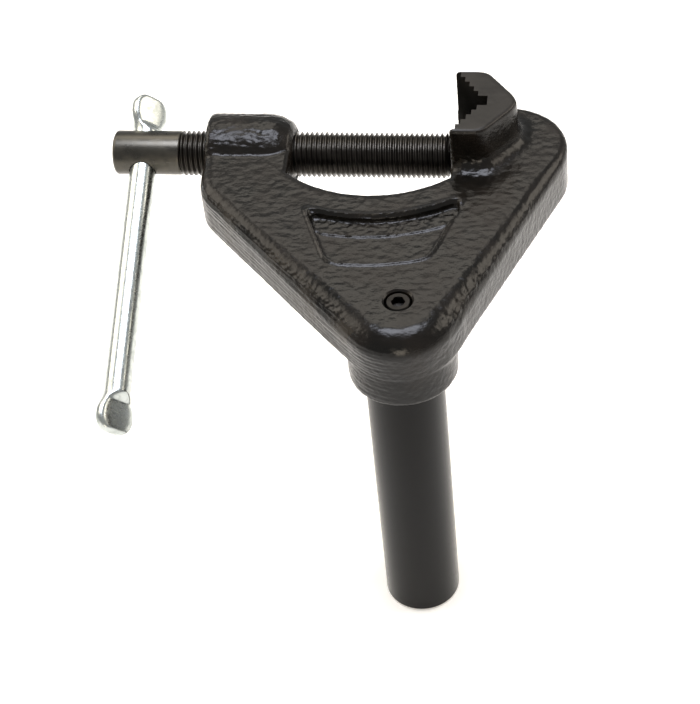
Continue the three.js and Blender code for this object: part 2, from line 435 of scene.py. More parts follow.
def soft_min(a: Field, b: Field, blend: float) -> Field:
    """Union of two fields with a fillet of about half the blend length."""
    near = np.maximum(blend - np.abs(a - b), 0) / blend
    return np.minimum(a, b) - near * near * blend / 4


def soft_max(a: Field, b: Field, blend: float) -> Field:
    """Intersection of two fields with its edge rounded over the blend length."""
    return -soft_min(-a, -b, blend)


def polygon_distance(x: Field, y: Field, corners: Sequence[Point2]) -> Field:
    """Signed distance to a polygon, negative inside.

    Args:
        x: Places along X, any shape.
        y: Places along Y, same shape.
        corners: The polygon's corners in order.

    Returns:
        Distance at each place.
    """
    best = np.full(x.shape, np.inf)
    inside = np.zeros(x.shape, bool)
    for (ax, ay), (bx, by) in zip(corners, [*corners[1:], corners[0]]):
        ex, ey = bx - ax, by - ay
        span = ex * ex + ey * ey
        if span < 1e-12:
            continue
        wx, wy = x - ax, y - ay
        along = np.clip((wx * ex + wy * ey) / span, 0, 1)
        best = np.minimum(best, (wx - along * ex) ** 2 + (wy - along * ey) ** 2)
        if ay != by:
            crosses = ((ay > y) != (by > y)) & (x < ex * (y - ay) / ey + ax)
            inside ^= crosses
    return np.where(inside, -1, 1) * np.sqrt(best)


def slab(outline: Field, height: Field, half: float, edge: Field | float) -> Field:
    """Prism of a plan outline with rounded edges.

    Args:
        outline: Signed distance to the outline, in plan.
        height: Height above the prism's middle.
        half: Half of its thickness.
        edge: Edge rounding.

    Returns:
        Signed distance to the prism.
    """
    side = outline + edge
    end = np.abs(height) - half + edge
    return np.minimum(np.maximum(side, end), 0) + np.hypot(
        np.maximum(side, 0), np.maximum(end, 0)) - edge


def skin(values: Field, origin: Sequence[float], step: float) -> tuple[np.ndarray, np.ndarray]:
    """Closed quad surface where a sampled field crosses zero.

    Args:
        values: Field on a regular grid, negative inside.
        origin: Place of the grid's first sample.
        step: Grid spacing.

    Returns:
        Vertices and quads.
    """
    inside = values < 0
    whole = [slice(0, n - 1) for n in values.shape]

    def shifted(offset: Sequence[int], cells: Field) -> Field:
        """Cells' corner at an offset."""
        return cells[tuple(slice(o, s.stop + o) for o, s in zip(offset, whole))]

    corners = sum(shifted((i, j, k), inside).astype(np.int8)
                  for i in (0, 1) for j in (0, 1) for k in (0, 1))
    mixed = (corners > 0) & (corners < 8)
    cells = np.argwhere(mixed)
    number = np.full(mixed.shape, -1, np.int64)
    number[mixed] = np.arange(len(cells))
    total = np.zeros((len(cells), 3))
    count = np.zeros(len(cells))
    quads = []
    for axis in range(3):
        unit = np.eye(3, dtype=int)[axis]
        u, v = [a for a in range(3) if a != axis]
        for du in (0, 1):
            for dv in (0, 1):
                start = cells.copy()
                start[:, u] += du
                start[:, v] += dv
                a = values[tuple(start.T)]
                b = values[tuple((start + unit).T)]
                cross = (a < 0) != (b < 0)
                share = a[cross] / (a[cross] - b[cross])
                total[cross] += start[cross] + share[:, None] * unit
                count[cross] += 1
        low = [slice(None)] * 3
        high = [slice(None)] * 3
        low[axis], high[axis] = slice(0, -1), slice(1, None)
        edges = np.argwhere(inside[tuple(low)] != inside[tuple(high)])
        edges = edges[(edges[:, u] > 0) & (edges[:, v] > 0)]
        ring = []
        for du, dv in ((1, 1), (0, 1), (0, 0), (1, 0)):
            place = edges.copy()
            place[:, u] -= du
            place[:, v] -= dv
            ring.append(number[tuple(place.T)])
        quad = np.stack(ring, 1)
        outward = inside[tuple(edges.T)] ^ (axis == 1)
        quad[~outward] = quad[~outward][:, ::-1]
        quads.append(quad)
    return np.array(origin) + step * total / count[:, None], np.concatenate(quads)


# ---- Meshes ----


def mesh_object(name: str, vertices: Sequence, faces: Sequence) -> Solid:
    """Object from vertices in millimetres.

    Args:
        name: Name of the object and its mesh.
        vertices: Places in millimetres.
        faces: Corner numbers of each face.

    Returns:
        The object, in the scene.
    """
    mesh = bpy.data.meshes.new(name)
    points = np.asarray(vertices, float) * MM
    mesh.from_pydata(points.tolist(), [], [list(map(int, f)) for f in faces])
    mesh.validate()
    made = bpy.data.objects.new(name, mesh)
    bpy.context.scene.collection.objects.link(made)
    return made


def grid_faces(rows: int, around: int) -> list[list[int]]:
    """Quads between rows of a closed tube, with a fan to a centre point at each end.

    Args:
        rows: Number of rings; the first centre is vertex rows * around, the last the next one.
        around: Vertices in each ring.

    Returns:
        The faces, pointing outward when rings run anticlockwise about the way they advance.
    """
    faces = []
    for r in range(rows - 1):
        for i in range(around):
            j = (i + 1) % around
            faces.append([r * around + i, r * around + j, (r + 1) * around + j,
                          (r + 1) * around + i])
    first, last = rows * around, rows * around + 1
    top = (rows - 1) * around
    for i in range(around):
        j = (i + 1) % around
        faces.append([j, i, first])
        faces.append([top + i, top + j, last])
    return faces


def turned(name: str, profile: Sequence[Point2], around: int = 96,
           flute: Callable[[float, float], float] | None = None) -> Solid:
    """Solid of revolution about local Z.

    Args:
        name: Name of the object.
        profile: Radius and height pairs, upwards, without points on the axis.
        around: Sides.
        flute: Change of radius by angle and height.

    Returns:
        The object.
    """
    turns = [2 * math.pi * i / around for i in range(around)]
    points = []
    for radius, height in profile:
        for t in turns:
            r = radius + (flute(t, height) if flute else 0.0)
            points.append((r * math.cos(t), r * math.sin(t), height))
    points += [(0, 0, profile[0][1]), (0, 0, profile[-1][1])]
    return mesh_object(name, points, grid_faces(len(profile), around))


def rounded(corners: Sequence[Point3], steps: int = 4) -> list[Point2]:
    """Turned profile with rounded corners.

    Args:
        corners: Radius, height and rounding of each corner.
        steps: Segments in each rounding.

    Returns:
        Radius and height pairs.
    """
    out: list[Point2] = []
    for i, (r, z, size) in enumerate(corners):
        if size <= 0 or i in (0, len(corners) - 1):
            out.append((r, z))
            continue
        here = Vector((r, z))
        back = (Vector(corners[i - 1][:2]) - here).normalized() * size
        ahead = (Vector(corners[i + 1][:2]) - here).normalized() * size
        for s in range(steps + 1):
            t = s / steps
            p = here + back * (1 - t) ** 2 + ahead * t ** 2
            out.append((p.x, p.y))
    return out


def place(made: Solid, matrix: Matrix) -> Solid:
    """Bakes a placement into an object's mesh.

    Args:
        made: The object.
        matrix: The placement, in millimetres.

    Returns:
        The same object.
    """
    matrix = matrix.copy()
    matrix.translation = matrix.translation * MM
    made.data.transform(matrix)
    return made


def prism(name: str, corners: Sequence[Point2], low: float, high: float) -> Solid:
    """Upright prism.

    Args:
        name: Name of the object.
        corners: Plan corners, anticlockwise.
        low: Height of its foot.
        high: Height of its top.

    Returns:
        The object.
    """
    n = len(corners)
    points = [(x, y, low) for x, y in corners] + [(x, y, high) for x, y in corners]
    faces = [list(range(n - 1, -1, -1)), list(range(n, 2 * n))]
    faces += [[i, (i + 1) % n, n + (i + 1) % n, n + i] for i in range(n)]
    return mesh_object(name, points, faces)


class Cut(Enum):
    """Ways to combine two solids."""

    AWAY = "DIFFERENCE"
    WITHIN = "INTERSECT"
    JOIN = "UNION"


def combine(base: Solid, tool: Solid, way: Cut) -> None:
    """Combines a solid with a tool, which is then deleted.

    Args:
        base: Solid to change.
        tool: Solid to combine with it.
        way: How.
    """
    step = base.modifiers.new("combine", "BOOLEAN")
    step.object, step.operation, step.solver = tool, way.value, "MANIFOLD"
    bpy.context.view_layer.update()
    graph = bpy.context.evaluated_depsgraph_get()
    result = bpy.data.meshes.new_from_object(base.evaluated_get(graph))
    base.modifiers.clear()
    old, base.data = base.data, result
    name = old.name
    bpy.data.meshes.remove(old)
    result.name = name
    waste = tool.data
    bpy.data.objects.remove(tool)
    bpy.data.meshes.remove(waste)


def smooth(made: Solid, crease: float) -> None:
    """Shades an object smooth, with edges sharper than a crease angle kept hard.

    Args:
        made: The object.
        crease: Angle in degrees.
    """
    mesh = made.data
    mesh.shade_smooth()
    mesh.set_sharp_from_angle(angle=math.radians(crease))


def along_x(height: float = 0.0) -> Matrix:
    """Placement that turns local Z onto the screw axis."""
    return Matrix.Translation((height, 0, 0)) @ Matrix.Rotation(math.pi / 2, 4, "Y")


# ---- Pieces ----


@dataclass
class Piece(ABC):
    """A sub-assembly that builds and dresses its own pieces."""

    built: list[Solid] = field(default_factory=list, init=False)

    @abstractmethod
    def build(self) -> None:
        """Makes every piece of the sub-assembly."""

    def dress(self, made: Solid, finish: Finish, body: Body, slot: Slot,
              *nodes: str) -> None:
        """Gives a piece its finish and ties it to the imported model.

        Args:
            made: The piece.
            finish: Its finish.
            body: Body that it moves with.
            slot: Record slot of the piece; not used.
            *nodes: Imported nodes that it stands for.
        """
        if not any(made.data.materials):
            made.data.materials.clear()
            made.data.materials.append(finish.material())
        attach(made, body.value)
        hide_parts(*nodes)
        self.built.append(made)
        LOG.info("%s: %d faces, %s", made.name, len(made.data.polygons), finish.name)

    def refinish(self, node: str, finish: Finish) -> None:
        """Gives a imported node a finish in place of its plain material.

        Args:
            node: The node's name.
            finish: Its finish.
        """
        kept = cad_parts[node]
        kept.data.materials.clear()
        kept.data.materials.append(finish.material())
        LOG.info("%s: kept, %s", node, finish.name)


@dataclass
class YokeCasting(Piece):
    """The cast yoke: plate, screw boss, jaw block and socket boss, machined after casting."""

    step: float = 0.65
    face: float = 10.5
    back: float = -12.0
    left_end: float = -116.4
    left_corner: Point3 = (-95.9, -24.4, 20.5)
    right_corner: Point3 = (9.3, -4.7, 25.5)
    throat: Point3 = (-45.1, 16.2, 51.8)
    apex: Point3 = (-26.4, -97.9, 23.8)
    boss_side: float = -80.0
    boss_radius: float = 17.0
    jaw_mouth: float = -12.2
    jaw_top: float = 30.0
    jaw_half: float = 19.8
    jaw_shoulder: float = 1.0
    jaw_draft: float = 0.08
    jaw_tip: tuple[float, float] = (14.5, 2.0)
    throat_edge: float = 2.6
    back_edge: float = 2.6
    apex_draft: float = 1.7
    socket_radius: float = 22.0
    socket_bottom: float = -27.0
    edge_stations: tuple[float, ...] = (-105.0, -85.0, -55.0, -25.0, 2.0)
    edge_sizes: tuple[float, ...] = (10.5, 9.0, 6.5, 6.0, 3.0)
    swell_stations: tuple[float, ...] = (-90.0, -85.5, -81.5, -79.0)
    swell_radii: tuple[float, ...] = (17.0, 16.0, 14.0, 11.5)
    shoulder_normal: Point2 = (0.797, 0.604)
    panel_radii: Point2 = (66.0, 94.0)
    panel_depth: float = 1.2
    slot_radii: Point2 = (67.0, 76.5)
    slot_depth: float = 2.9
    teeth: int = 5
    tooth: Point2 = (2.0, 3.05)
    first_tooth: float = -1.9
    relief: Point2 = (2.1, 3.0)
    bore: Profile = ((11.3, -119.0), (11.3, -117.4), (9.825, -114.9), (9.825, -81.5),
                     (12.8, -78.0), (12.8, -76.5))
    socket: Profile = ((17.6, -29.0), (17.4, -27.0), (16.175, -26.0), (16.175, -3.1))
    cap_hole: Profile = ((3.3, -4.4), (3.3, 1.5), (5.6, 1.5), (5.6, 9.7), (6.5, 10.7),
                         (6.5, 13.0))
    ripple: float = 0.16
    coarse_wave: Point3 = (3.4, 2.4, 2.4)
    fine_wave: Point3 = (1.7, 1.3, 1.3)
    grinder_wave: Point3 = (30.0, 30.0, 3.0)
    grinding_depth: float = 0.09
    grinding_pitch: float = 2.0

    def tangent(self, first: tuple, second: tuple) -> float:
        """Direction of the outward normal of the line outside two circles, on their right."""
        run, rise = second[0] - first[0], second[1] - first[1]
        return math.atan2(rise, run) - math.acos((first[2] - second[2]) / math.hypot(run, rise))

    def outline(self) -> list[Point2]:
        """Plan outline of the plate.

        Returns:
            Its corners, anticlockwise.
        """
        def arc(circle: tuple, start: float, end: float, count: int) -> list[Point2]:
            """Points along an arc."""
            return [(circle[0] + circle[2] * math.cos(a), circle[1] + circle[2] * math.sin(a))
                    for a in np.linspace(start, end, count)]

        left = self.tangent(self.left_corner, self.apex)
        right = self.tangent(self.apex, self.right_corner)
        throat_angle = [-math.acos((x - self.throat[0]) / self.throat[2])
                        for x in (self.jaw_mouth, self.boss_side)]
        return [(self.left_end, self.boss_radius / 2),
                *arc(self.left_corner, -math.pi, left, 18),
                *arc(self.apex, left, right, 24),
                *arc(self.right_corner, right, math.pi / 2, 30),
                (self.jaw_mouth, self.right_corner[1] + self.right_corner[2]),
                *arc(self.throat, *throat_angle, 40),
                (self.boss_side, self.boss_radius / 2)]

    def sector(self, x: Field, y: Field, inner: float, outer: float, left: Point2,
               right: Point2, corner: float) -> Field:
        """Plan field of a ring sector about the throat's centre, with rounded corners.

        Args:
            x: Places along X.
            y: Places along Y.
            inner: Inner radius.
            outer: Outer radius.
            left: Direction in degrees of the left end at the inner and the outer radius.
            right: The same for the right end.
            corner: Corner rounding.

        Returns:
            The field, negative inside.
        """
        dx, dy = x - self.throat[0], y - self.throat[1]
        radius = np.hypot(dx, dy)
        out = soft_max(inner - radius, radius - outer, corner)
        for (near, far), side in ((left, 1), (right, -1)):
            a = Vector((math.cos(math.radians(near)), math.sin(math.radians(near)))) * inner
            b = Vector((math.cos(math.radians(far)), math.sin(math.radians(far)))) * outer
            along = (b - a).normalized()
            out = soft_max(out, side * ((dx - a.x) * along.y - (dy - a.y) * along.x), corner)
        return out

    def casting(self) -> tuple[np.ndarray, np.ndarray]:
        """Skin of the raw casting.

        Returns:
            Vertices and quads, in millimetres.
        """
        low = (-118.6, -124.0, -28.6)
        high = (36.8, 22.8, 31.6)
        axes = [np.arange(a, b, self.step) for a, b in zip(low, high)]
        x, y = axes[0][:, None, None], axes[1][None, :, None]
        z = axes[2][None, None, :]
        flat_x, flat_y = np.broadcast_arrays(x, y)
        middle, half = (self.face + self.back) / 2, (self.face - self.back) / 2
        from_throat = np.hypot(x - self.throat[0], y - self.throat[1]) - self.throat[2]
        nearness = np.clip(from_throat / 12, 0, 1)
        outer = np.interp(y, self.edge_stations, self.edge_sizes)
        face_edge = self.throat_edge + (outer - self.throat_edge) * nearness
        at_apex = np.interp(y, [-114, -100], [1.0, 0.0])
        edge = np.where(z > middle, face_edge, self.back_edge * (1 - 0.8 * at_apex))
        draft = self.apex_draft * at_apex * np.interp(z, [self.back, self.face - 8], [1.0, 0.0])
        plan = polygon_distance(flat_x, flat_y, self.outline())
        body = slab(plan + draft, z - middle, half, edge)

        around = np.hypot(y, z)
        swell = np.interp(x, self.swell_stations, self.swell_radii)
        boss = soft_max(soft_max(around - swell, self.left_end - x, 3.0),
                        x - self.swell_stations[-1], 3.0)
        body = soft_min(body, boss, 0.9)

        lean, face_out = self.shoulder_normal
        shoulder = (lean * (x - self.jaw_shoulder) + face_out * (np.abs(y) - self.jaw_half)
                    + self.jaw_draft * (z - self.jaw_top))
        jaw = soft_max(np.abs(y) - self.jaw_half, self.jaw_mouth - x, 1.2)
        jaw = soft_max(soft_max(jaw, shoulder, 3.0), x - self.jaw_tip[0], 3.0)
        jaw = soft_max(jaw, np.abs(z - (self.jaw_top + self.back) / 2)
                       - (self.jaw_top - self.back) / 2, 2.0)
        body = soft_min(body, jaw, np.interp(x, [self.jaw_mouth, self.jaw_mouth + 5], [1.0, 7.0]))

        stub = soft_max(np.hypot(x - self.apex[0], y - self.apex[1]) - self.socket_radius,
                        self.socket_bottom - z, 2.4)
        body = soft_min(body, soft_max(stub, z, 1.0), 5.0 - 4.6 * at_apex)

        panel = self.sector(flat_x, flat_y, *self.panel_radii, (248.5, 263), (306.5, 287.5),
                            5.0)
        body = soft_min(body, np.hypot(panel - 0.5, z - self.face) - 0.75, 1.0)
        body = soft_max(body, -soft_max(panel, self.face - self.panel_depth - z, 0.5), 0.7)
        slot = self.sector(flat_x, flat_y, *self.slot_radii, (250, 255.5), (305, 300), 5.0)
        body = soft_min(body, np.hypot(slot - 0.5, z - self.face + self.panel_depth) - 0.8, 0.6)
        body = soft_max(body, -soft_max(slot, self.face - self.slot_depth - z, 1.0), 0.8)
        return skin(body.astype(np.float32), low, self.step)

    def roughen(self, made: Solid) -> None:
        """Moves the skin in and out, as enamel lies over a sand-cast surface.

        Args:
            made: The raw casting.
        """
        def wave_at(at: Vector, size: Point3) -> float:
            """Smooth noise with waves of a size."""
            return noise.noise((at.x / size[0], at.y / size[1], at.z / size[2]))

        mesh = made.data
        count = len(mesh.vertices)
        normals = np.zeros(count * 3)
        mesh.vertex_normals.foreach_get("vector", normals)
        normals = normals.reshape(-1, 3)
        points = np.zeros(count * 3)
        mesh.vertices.foreach_get("co", points)
        points = points.reshape(-1, 3)
        left = self.tangent(self.left_corner, self.apex)
        facing = np.clip((normals @ (math.cos(left), math.sin(left), 0) - 0.6) / 0.3, 0, 1)
        for i in range(count):
            p = Vector(points[i]) / MM
            on_jaw = p.z > self.face + 3 and p.x > self.jaw_mouth - 2
            on_boss = p.x < -84 and p.z > self.face + 0.5
            in_slot = p.z < self.face - 1.6 and normals[i][2] > 0.5 and p.y < -35
            at_foot = self.face < p.z < self.face + 8 and -30 < p.y < -18 and p.x > -14
            on_apex = p.y < -106 and 0.2 < normals[i][2] < 0.97
            size = 0.3 if on_jaw and not at_foot else 0.4 if on_apex else 1.0
            level = abs(normals[i][2])
            wave = wave_at(p, self.coarse_wave) * (0.5 + 0.4 * level)
            fine = 1.9 if in_slot else 1.3 if on_boss or at_foot else 0.5
            wave += wave_at(p, self.fine_wave) * fine
            wave *= self.ripple * size
            if facing[i] > 0:
                drift = wave_at(p, self.grinder_wave) * 0.8
                turns = 2 * math.pi * p.z / self.grinding_pitch
                wave += facing[i] * self.grinding_depth * math.sin(turns + 4 * drift)
            points[i] += normals[i] * (wave - 0.5 * self.ripple) * MM
        mesh.vertices.foreach_set("co", points.ravel())
        mesh.update()

    def flank(self) -> list[Point2]:
        """Plan of the stepped V with its relief slot.

        Returns:
            Its corners, anticlockwise.
        """
        corners: list[Point2] = [self.relief]
        run, rise = self.tooth
        for number in range(self.teeth):
            x = self.first_tooth - run * number
            corners += [(x, self.relief[1] + rise * number),
                        (x, self.relief[1] + rise * (number + 1))]
        corners.append((self.jaw_mouth - 5, corners[-1][1]))
        return corners + [(x, -y) for x, y in reversed(corners)]

    def machine(self, made: Solid) -> None:
        """Cuts the V, the screw's bore, the arm's socket and the cap screw's hole.

        Args:
            made: The casting.
        """
        combine(made, prism("v_cutter", self.flank(), self.back - 4, self.jaw_top + 4), Cut.AWAY)
        combine(made, place(turned("bore_cutter", self.bore), along_x()), Cut.AWAY)
        at_apex = Matrix.Translation((self.apex[0], self.apex[1], 0))
        combine(made, place(turned("socket_cutter", self.socket), at_apex), Cut.AWAY)
        combine(made, place(turned("hole_cutter", self.cap_hole, 64), at_apex), Cut.AWAY)

    def paint(self, made: Solid) -> None:
        """Gives the cast, machined and fettled surfaces their own enamel, with painted reflection
        on the fettled wall.

        Args:
            made: The machined casting.
        """
        made.data.materials.clear()
        for finish in (ENAMEL, MACHINED_ENAMEL, FETTLED_ENAMEL_WITH_PAINTED_REFLECTION):
            made.data.materials.append(finish.material())
        left = self.tangent(self.left_corner, self.apex)
        fettled = Vector((math.cos(left), math.sin(left), 0))
        for polygon in made.data.polygons:
            c = polygon.center / MM
            on_v = c.x > self.jaw_mouth - 0.5 and abs(c.y) < 18.6 and abs(c.z) < 31 and (
                c.x < 2.2 and polygon.area > 2e-6)
            polygon.material_index = 1 if on_v or c.z > self.jaw_top - 0.7 else 0
            # Faces turned to the left take the fettled enamel, whose lighter brown mix is painted
            # reflection.
            if polygon.normal.dot(fettled) > 0.72 and c.z > self.back and c.y > -112:
                polygon.material_index = 2

    def build(self) -> None:
        """Casts, roughens, machines, paints and dresses the yoke."""
        vertices, quads = self.casting()
        made = mesh_object("yoke_casting", vertices, quads)
        self.roughen(made)
        self.machine(made)
        self.paint(made)
        smooth(made, 38)
        self.dress(made, ENAMEL, Body.YOKE, Slot.ENAMELLED_IRON, "clamp_body")


@dataclass
class SupportArm(Piece):
    """The round arm, its cap screw and its lock washer."""

    x: float = -26.4
    y: float = -97.9
    radius: float = 15.875
    top: float = -3.4
    length: float = 158.75
    chamfer: float = 1.0
    head_top: float = 9.7
    head_radius: float = 5.0
    head_height: float = 6.0
    shank_radius: float = 3.0
    screw_length: float = 16.0
    hex_across: float = 5.0
    hex_depth: float = 3.4

    def at(self) -> Matrix:
        """Placement on the arm's axis."""
        return Matrix.Translation((self.x, self.y, 0))

    def arm(self) -> Solid:
        """The enamelled bar, with its tapped hole.

        Returns:
            The bar, undressed.
        """
        r, top, cut = self.radius, self.top, self.chamfer
        bottom = top - self.length
        profile = rounded([(r - cut - 0.6, bottom, 0), (r - cut, bottom, 0.3),
                           (r, bottom + cut, 0.4), (r, top - cut, 0.4), (r - cut, top, 0)], 3)
        made = place(turned("support_arm_bar", profile, 128), self.at())
        end = self.head_top - self.head_height - self.screw_length
        hole = place(turned("arm_hole", [(0.4, end - 2), (3.3, end - 1), (3.3, 0)], 48), self.at())
        combine(made, hole, Cut.AWAY)
        return made

    def cap_screw(self) -> Solid:
        """Socket head cap screw with a knurled head.

        Returns:
            The screw, undressed.
        """
        top, wide, shank = self.head_top, self.head_radius, self.shank_radius
        seat = top - self.head_height

        def knurl(turn: float, height: float) -> float:
            """Straight knurl on the side of the head."""
            on_side = seat + 0.8 < height < top - 0.7
            return -0.12 * (0.5 + 0.5 * math.cos(32 * turn)) if on_side else 0.0

        low = seat - self.screw_length
        profile = [(shank - 0.5, low), (shank, low + 0.5), (shank, seat), (wide - 0.2, seat),
                   (wide, seat + 0.3), (wide, seat + 1.0), (wide, top - 0.9),
                   (wide - 0.1, top - 0.5), (wide - 0.55, top), (2.6, top)]
        made = turned("cap_screw", profile, 128, knurl)
        across, floor = self.hex_across / math.sqrt(3), top - self.hex_depth
        corner = [(0.3, floor - 0.8), (across, floor), (across, top + 1)]
        combine(made, turned("hex_cutter", corner, 6), Cut.AWAY)
        ease = [(across - 0.5, top - 0.35), (across + 0.1, top + 0.25), (across + 0.1, top + 1)]
        combine(made, turned("ease_cutter", ease, 48), Cut.AWAY)
        return place(made, self.at())

    def build(self) -> None:
        """Makes and dresses the arm and its fixing."""
        arm = self.arm()
        smooth(arm, 35)
        self.dress(arm, ARM_ENAMEL, Body.YOKE, Slot.ARM_ENAMEL, "support_arm")
        cap = self.cap_screw()
        smooth(cap, 30)
        self.dress(cap, CAP_OXIDE, Body.YOKE, Slot.BLACK_OXIDE_STEEL, "arm_cap_screw")
        self.refinish("arm_lock_washer", SPRING)


@dataclass
class ClampScrew(Piece):
    """The clamp screw: cross-drilled head, rolled thread and spigot, with its swivel pad."""

    crest: float = 9.525
    root: float = 8.25
    pitch: float = 25.4 / 12
    head_from: float = -157.5
    head_to: float = -128.4
    head_radius: float = 9.35
    end: float = -14.5
    bar_x: float = -145.15
    bar_tilt: float = 23.1
    hole_radius: float = 5.856
    around: int = 72

    def thread(self) -> Solid:
        """Right-hand thread as one closed helical skin, longer than the thread at both ends.

        Returns:
            The thread, undressed.
        """
        turn_profile = [(0.0, self.crest), (0.125, self.crest), (0.44, self.root + 0.1),
                        (0.5, self.root), (0.625, self.root), (0.685, self.root + 0.1)]
        m = len(turn_profile)
        start = self.head_to - 3 * self.pitch
        rows = (int((self.end - self.head_to) / self.pitch) + 7) * m + 1
        points = []
        for column in range(self.around):
            angle = 2 * math.pi * column / self.around
            for row in range(rows):
                turn, part = divmod(row, m)
                share, radius = turn_profile[part]
                x = start + self.pitch * (turn + share + column / self.around)
                points.append((x, radius * math.cos(angle), radius * math.sin(angle)))
        faces = []
        for column in range(self.around):
            seam = column == self.around - 1
            for row in range(rows - 1 - (m if seam else 0)):
                a = column * rows + row
                b = row + m if seam else a + rows
                faces.append([a, b, b + 1, a + 1])
        made = mesh_object("clamp_screw_body", points, faces)
        mesh = bmesh.new()
        mesh.from_mesh(made.data)
        bmesh.ops.holes_fill(mesh, edges=[e for e in mesh.edges if e.is_boundary], sides=0)
        bmesh.ops.recalc_face_normals(mesh, faces=mesh.faces)
        mesh.to_mesh(made.data)
        mesh.free()
        return made

    def bar_frame(self) -> Matrix:
        """Placement whose local Z runs along the tommy bar, from the screw's axis."""
        return (Matrix.Translation((self.bar_x, 0, 0))
                @ Matrix.Rotation(math.pi / 2 + math.radians(self.bar_tilt), 4, "X"))

    def screw(self) -> Solid:
        """The whole screw, as one solid.

        Returns:
            The screw, undressed.
        """
        made = self.thread()
        envelope = [(9.7, self.head_to - 0.3), (9.7, self.end - 1.3), (8.4, self.end)]
        combine(made, place(turned("envelope", envelope, 96), along_x()), Cut.WITHIN)
        r = self.head_radius
        head = rounded([(r - 2.2, self.head_from, 0), (r - 1.0, self.head_from, 0.5),
                        (r, self.head_from + 1.0, 0.5), (r, self.head_to - 0.6, 0.4),
                        (r - 0.7, self.head_to, 0.2), (8.0, self.head_to, 0),
                        (8.0, self.head_to + 2, 0)], 4)
        combine(made, place(turned("head", head, 96), along_x()), Cut.JOIN)
        spigot = [(4.5, self.end - 2), (4.5, -11.0), (3.7, -11.0), (3.7, -9.6), (4.5, -9.6),
                  (4.5, -8.5), (4.0, -8.0)]
        combine(made, place(turned("spigot", spigot, 64), along_x()), Cut.JOIN)
        hole = turned("cross_hole", [(self.hole_radius, -12), (self.hole_radius, 12)], 64)
        combine(made, place(hole, self.bar_frame()), Cut.AWAY)
        return made

    def pad(self) -> Solid:
        """The swivel pad: a turned puck, bored from behind and grooved for its snap ring.

        Returns:
            The pad, undressed.
        """
        made = turned("swivel_pad", rounded([
            (6.8, -14.2, 0), (7.5, -14.2, 0.3), (8.5, -13.2, 0.4), (8.5, -7.2, 0.4),
            (7.5, -6.2, 0.3), (6.6, -6.2, 0)], 4), 96)
        bore = [(5.2, -15.0), (4.8, -13.9), (4.8, -11.0), (5.7, -11.0), (5.7, -9.6), (4.8, -9.6),
                (4.8, -7.7)]
        combine(made, turned("pad_bore", bore, 64), Cut.AWAY)
        return place(made, along_x())

    def build(self) -> None:
        """Makes and dresses the screw and its pad."""
        screw = self.screw()
        smooth(screw, 28)
        # The head takes the lighter oxide and the thread the darker one, painted shade of the
        # thread's grooves.
        screw.data.materials.clear()
        screw.data.materials.append(OXIDE.material())
        screw.data.materials.append(HEAD_OXIDE_LIT_COPY.material())
        for polygon in screw.data.polygons:
            polygon.material_index = int(polygon.center.x < self.head_to * MM)
        self.dress(screw, OXIDE, Body.SCREW, Slot.BLACK_OXIDE_STEEL, "clamp_screw")
        pad = self.pad()
        smooth(pad, 30)
        self.dress(pad, OXIDE, Body.PAD, Slot.BLACK_OXIDE_STEEL, "pressure_pad")
        self.refinish("pad_snap_ring", SPRING)


@dataclass
class TommyBar(Piece):
    """The sliding tommy bar: a round rod whose two ends are swaged flat and wide."""

    radius: float = 5.556
    short_end: float = -26.2
    long_end: float = 127.1
    roll: float = -51.0
    swage: float = 17.5
    ramp: float = 4.5
    flare: float = 10.0
    half_width: float = 8.6
    half_thick: float = 2.6
    nose: float = 6.5
    lip: float = 1.8
    around: int = 72

    def section(self, from_end: float) -> Point3:
        """Cross-section of the bar.

        Args:
            from_end: Distance from the nearer end.

        Returns:
            Half width, half thickness and squareness.
        """
        def ease(value: float) -> float:
            """Smooth step from zero to one."""
            value = min(max(value, 0.0), 1.0)
            return value * value * (3 - 2 * value)

        flat = ease((self.swage - from_end) / self.ramp)
        wide = ease((self.swage + 0.5 - from_end) / self.flare)
        width = self.radius + (self.half_width - self.radius) * wide
        thick = self.radius + (self.half_thick - self.radius) * flat
        square = 2.0 + 1.8 * flat
        nose = min(from_end / self.nose, 1.0)
        width *= 0.25 + 0.75 * math.sqrt(1 - (1 - nose) ** 2)
        lip = min(from_end / self.lip, 1.0)
        thick *= math.sqrt(1 - (1 - lip) ** 2) * 0.75 + 0.25
        return width, thick, square

    def bar(self) -> Solid:
        """The whole bar, along local Z.

        Returns:
            The bar, undressed.
        """
        near = [0, 0.06, 0.15, *np.linspace(0.3, 2.0, 8), *np.linspace(2.4, 6, 8),
                *np.linspace(6.6, 19.0, 30)]
        heights = [self.short_end + s for s in near]
        heights += list(np.linspace(self.short_end + 22, self.long_end - 22, 12))
        heights += [self.long_end - s for s in reversed(near)]
        points = []
        for height in heights:
            from_end = min(height - self.short_end, self.long_end - height)
            a, b, n = self.section(from_end)
            for i in range(self.around):
                t = 2 * math.pi * (i + 0.5) / self.around
                c, s = math.cos(t), math.sin(t)
                points.append((math.copysign(a * abs(c) ** (2 / n), c),
                               math.copysign(b * abs(s) ** (2 / n), s), height))
        points += [(0, 0, self.short_end), (0, 0, self.long_end)]
        return mesh_object("tommy_bar", points, grid_faces(len(heights), self.around))

    def build(self) -> None:
        """Makes and dresses the bar."""
        made = self.bar()
        smooth(made, 50)
        frame_here = ClampScrew().bar_frame() @ Matrix.Rotation(math.radians(self.roll), 4, "Z")
        frame_here.translation = frame_here.translation * MM
        made.matrix_world = frame_here
        self.dress(made, ZINC, Body.BAR, Slot.ZINC_PLATE, "handle_bar")


# ---- Studio ----


